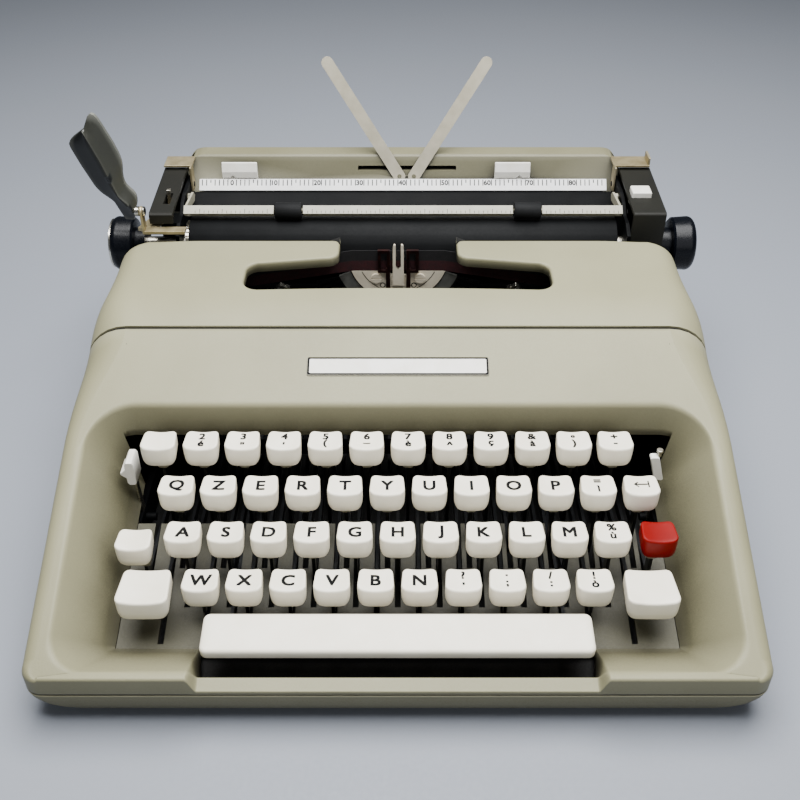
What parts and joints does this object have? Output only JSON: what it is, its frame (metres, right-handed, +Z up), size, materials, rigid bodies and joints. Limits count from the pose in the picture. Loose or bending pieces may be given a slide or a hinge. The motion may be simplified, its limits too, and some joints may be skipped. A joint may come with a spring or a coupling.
{
  "type": "portable typewriter",
  "caption": "Low portable manual typewriter with a moulded wedge case, white key caps in a well, a lift-off ribbon cover, and a sliding carriage with platen, knobs and return lever.",
  "frame": {"origin": "on the surface that the feet stand on, under the middle of the whole machine", "axes": "+X to the typist's right, +Y from the typist towards the carriage, +Z up"},
  "size_m": [0.342, 0.3358, 0.1662],
  "materials": {
    "housing_plastic": "fine-grained moulded plastic, warm grey",
    "foot_rubber": "black moulded rubber",
    "platen_rubber": "ground black rubber",
    "key_plastic": "smooth white moulded plastic",
    "red_key_plastic": "smooth red moulded plastic",
    "lever_steel": "plain rolled steel",
    "frame_paint": "black stoved enamel",
    "dark_plastic": "fine-grained dark grey plastic",
    "knob_plastic": "polished blue-black plastic",
    "white_plastic": "smooth white plastic",
    "bail_enamel": "cream enamel with a printed scale",
    "scale_enamel": "pale enamel with a printed scale",
    "tab_steel": "dulled plated steel",
    "nickel": "satin nickel plate",
    "ribbon_cloth": "inked cloth"
  },
  "bodies": {
    "chassis": {"base_pan": "housing_plastic", "rubber_feet": "foot_rubber", "upper_housing": "housing_plastic", "name_plate": "white_plastic", "key_floor": "housing_plastic", "chassis_frame": "frame_paint", "fulcrum_shaft": "lever_steel", "carriage_rail": "lever_steel", "ribbon_platforms": "frame_paint", "ink_ribbon": "ribbon_cloth"},
    "cover": {"ribbon_cover": "housing_plastic"},
    "drum": {"mainspring_drum": "frame_paint"},
    "left_spool": {"left_ribbon_spool": "dark_plastic"},
    "right_spool": {"right_ribbon_spool": "dark_plastic"},
    "vibrator": {"ribbon_vibrator": "lever_steel"},
    "type_basket": {"type_segment": "nickel", "segment_screws": "nickel", "typebars": "lever_steel", "type_guide": "nickel"},
    "centre_bar": {"centre_typebar": "lever_steel"},
    "carriage": {"carriage_frame": "frame_paint", "left_end_cover": "dark_plastic", "right_end_cover": "dark_plastic", "paper_table": "housing_plastic", "margin_scale": "scale_enamel", "paper_deflector": "frame_paint"},
    "platen_roll": {"platen": "platen_rubber", "platen_shaft": "lever_steel", "left_knob": "knob_plastic", "right_knob": "knob_plastic", "ratchet_wheel": "lever_steel"},
    "bail": {"paper_bail": "bail_enamel"},
    "bail_rolls": {"bail_rollers": "foot_rubber"},
    "left_stop": {"left_margin_stop": "white_plastic"},
    "right_stop": {"right_margin_stop": "white_plastic"},
    "left_arm": {"left_paper_arm": "nickel"},
    "right_arm": {"right_paper_arm": "nickel"},
    "spacing_arm": {"line_space_arm": "tab_steel"},
    "hand_lever": {"return_lever": "dark_plastic"},
    "right_tab": {"paper_release_lever": "tab_steel"},
    "left_tab": {"left_release_lever": "tab_steel"},
    "button": {"release_button": "white_plastic"},
    "spacing_selector": {"line_space_selector": "tab_steel"},
    "number_row": {"number_row_caps": "key_plastic", "number_row_levers": "lever_steel"},
    "upper_row": {"upper_row_caps": "key_plastic", "upper_row_levers": "lever_steel"},
    "home_row": {"home_row_caps": "key_plastic", "home_row_levers": "lever_steel"},
    "lower_row": {"lower_row_caps": "key_plastic", "lower_row_levers": "lever_steel"},
    "middle_key": {"centre_key": "key_plastic"},
    "bar": {"space_bar": "key_plastic"},
    "shifts": {"shift_keys": "key_plastic"},
    "lock": {"shift_lock_key": "key_plastic"},
    "backspace": {"backspace_key": "key_plastic"},
    "tabulator": {"tab_key": "red_key_plastic"},
    "margin_key": {"margin_release_key": "key_plastic"},
    "left_switch": {"left_selector": "white_plastic"},
    "right_switch": {"right_selector": "white_plastic"}
  },
  "joints": [
    {"name": "cover_lift", "type": "slide", "parent": "chassis", "child": "cover", "axis": [0, 0, 1], "range_m": [0, 0.06]},
    {"name": "carriage_travel", "type": "slide", "parent": "chassis", "child": "carriage", "axis": [1, 0, 0], "range_m": [-0.1, 0.1]},
    {"name": "drum_spin", "type": "hinge", "parent": "chassis", "child": "drum", "pos_m": [-0.0932, 0.13506, 0.034], "axis": [0, 0, 1], "range_deg": [-680, 680]},
    {"name": "left_spool_spin", "type": "hinge", "parent": "chassis", "child": "left_spool", "pos_m": [-0.1022, 0.03706, 0.078], "axis": [0, 0, 1], "continuous": true},
    {"name": "right_spool_spin", "type": "hinge", "parent": "chassis", "child": "right_spool", "pos_m": [0.1058, 0.03706, 0.078], "axis": [0, 0, 1], "continuous": true},
    {"name": "number_row_press", "type": "hinge", "parent": "chassis", "child": "number_row", "pos_m": [0.0018, 0.11706, 0.0155], "axis": [1, 0, 0], "range_deg": [0, 2.65], "stiffness_Nm_per_rad": 8, "springref_deg": -3.44},
    {"name": "upper_row_press", "type": "hinge", "parent": "chassis", "child": "upper_row", "pos_m": [0.0018, 0.11706, 0.0155], "axis": [1, 0, 0], "range_deg": [0, 2.4], "stiffness_Nm_per_rad": 9, "springref_deg": -3.44},
    {"name": "home_row_press", "type": "hinge", "parent": "chassis", "child": "home_row", "pos_m": [0.0018, 0.11706, 0.0155], "axis": [1, 0, 0], "range_deg": [0, 2.2], "stiffness_Nm_per_rad": 10, "springref_deg": -3.44},
    {"name": "lower_row_press", "type": "hinge", "parent": "chassis", "child": "lower_row", "pos_m": [0.0018, 0.11706, 0.0155], "axis": [1, 0, 0], "range_deg": [0, 2.02], "stiffness_Nm_per_rad": 10, "springref_deg": -3.44},
    {"name": "middle_key_press", "type": "hinge", "parent": "chassis", "child": "middle_key", "pos_m": [0.0018, 0.11706, 0.0155], "axis": [1, 0, 0], "range_deg": [0, 2.2], "stiffness_Nm_per_rad": 1, "springref_deg": -4.58},
    {"name": "space_bar_press", "type": "hinge", "parent": "chassis", "child": "bar", "pos_m": [0.0018, 0.11706, 0.0155], "axis": [1, 0, 0], "range_deg": [0, 1.31], "stiffness_Nm_per_rad": 4, "springref_deg": -4.01},
    {"name": "shift_press", "type": "hinge", "parent": "chassis", "child": "shifts", "pos_m": [0.0018, 0.11706, 0.0155], "axis": [1, 0, 0], "range_deg": [0, 1.99], "stiffness_Nm_per_rad": 20, "springref_deg": -3.44},
    {"name": "lock_press", "type": "hinge", "parent": "chassis", "child": "lock", "pos_m": [0.0018, 0.11706, 0.0155], "axis": [1, 0, 0], "range_deg": [0, 2.2], "stiffness_Nm_per_rad": 1, "springref_deg": -4.58},
    {"name": "backspace_press", "type": "hinge", "parent": "chassis", "child": "backspace", "pos_m": [0.0018, 0.11706, 0.0155], "axis": [1, 0, 0], "range_deg": [0, 2.4], "stiffness_Nm_per_rad": 1, "springref_deg": -4.58},
    {"name": "tabulator_press", "type": "hinge", "parent": "chassis", "child": "tabulator", "pos_m": [0.0018, 0.11706, 0.0155], "axis": [1, 0, 0], "range_deg": [0, 2.2], "stiffness_Nm_per_rad": 1, "springref_deg": -4.58},
    {"name": "margin_key_press", "type": "hinge", "parent": "chassis", "child": "margin_key", "pos_m": [0.0018, 0.11706, 0.0155], "axis": [1, 0, 0], "range_deg": [0, 2.65], "stiffness_Nm_per_rad": 1, "springref_deg": -4.58},
    {"name": "left_switch_turn", "type": "hinge", "parent": "chassis", "child": "left_switch", "pos_m": [-0.1187, -0.06394, 0.018], "axis": [1, 0, 0], "range_deg": [-8, 8]},
    {"name": "right_switch_turn", "type": "hinge", "parent": "chassis", "child": "right_switch", "pos_m": [0.1223, -0.06394, 0.018], "axis": [1, 0, 0], "range_deg": [-8, 8]},
    {"name": "basket_shift", "type": "slide", "parent": "chassis", "child": "type_basket", "axis": [0, 0, -1], "range_m": [0, 0.006]},
    {"name": "type_bar_swing", "type": "hinge", "parent": "type_basket", "child": "centre_bar", "pos_m": [0.0018, 0.06878, 0.03014], "axis": [-1, 0, 0], "range_deg": [0, 82.2]},
    {"name": "ribbon_lift", "type": "slide", "parent": "chassis", "child": "vibrator", "axis": [0, 0, 1], "range_m": [0, 0.008]},
    {"name": "platen_turn", "type": "hinge", "parent": "carriage", "child": "platen_roll", "pos_m": [0.00455, 0.09506, 0.0817], "axis": [1, 0, 0], "continuous": true},
    {"name": "bail_raise", "type": "hinge", "parent": "carriage", "child": "bail", "pos_m": [0.00455, 0.11906, 0.099], "axis": [-1, 0, 0], "range_deg": [0, 50]},
    {"name": "bail_roller_spin", "type": "hinge", "parent": "bail", "child": "bail_rolls", "pos_m": [0.00455, 0.09456, 0.1026], "axis": [1, 0, 0], "continuous": true},
    {"name": "left_stop_slide", "type": "slide", "parent": "carriage", "child": "left_stop", "axis": [1, 0, 0], "range_m": [-0.013, 0.06]},
    {"name": "right_stop_slide", "type": "slide", "parent": "carriage", "child": "right_stop", "axis": [1, 0, 0], "range_m": [-0.045, 0.045]},
    {"name": "left_arm_fold", "type": "hinge", "parent": "carriage", "child": "left_arm", "pos_m": [0.00245, 0.14115, 0.1014], "axis": [0, -0.9203, 0.3911], "range_deg": [0, 50]},
    {"name": "right_arm_fold", "type": "hinge", "parent": "carriage", "child": "right_arm", "pos_m": [0.01115, 0.14115, 0.1014], "axis": [0, 0.9203, -0.3911], "range_deg": [0, 50]},
    {"name": "spacing_arm_swing", "type": "hinge", "parent": "carriage", "child": "spacing_arm", "pos_m": [-0.13245, 0.09606, 0.0974], "axis": [0, 0, -1], "range_deg": [-16, 0], "stiffness_Nm_per_rad": 0.2, "springref_deg": 5.73},
    {"name": "hand_lever_fold", "type": "hinge", "parent": "spacing_arm", "child": "hand_lever", "pos_m": [-0.13915, 0.07906, 0.1104], "axis": [-1, 0, 0], "range_deg": [-80, 0]},
    {"name": "right_tab_raise", "type": "hinge", "parent": "carriage", "child": "right_tab", "pos_m": [0.12955, 0.13206, 0.101], "axis": [1, 0, 0], "range_deg": [0, 12]},
    {"name": "left_tab_raise", "type": "hinge", "parent": "carriage", "child": "left_tab", "pos_m": [-0.12045, 0.13206, 0.101], "axis": [1, 0, 0], "range_deg": [0, 12]},
    {"name": "button_press", "type": "slide", "parent": "carriage", "child": "button", "axis": [0, 0, -1], "range_m": [0, 0.003], "stiffness_N_per_m": 300, "springref_m": -0.003},
    {"name": "spacing_select", "type": "slide", "parent": "carriage", "child": "spacing_selector", "axis": [0, -1, 0], "range_m": [0, 0.007]}
  ],
  "couplings": [
    {"joint": "drum_spin", "follows": "carriage_travel", "rad_per_m": 117.65},
    {"joint": "right_spool_spin", "follows": "left_spool_spin", "ratio": 1},
    {"joint": "basket_shift", "follows": "shift_press", "m_per_rad": 0.17258},
    {"joint": "middle_key_press", "follows": "type_bar_swing", "ratio": 0.026727},
    {"joint": "ribbon_lift", "follows": "type_bar_swing", "m_per_rad": 0.0055762}
  ]
}
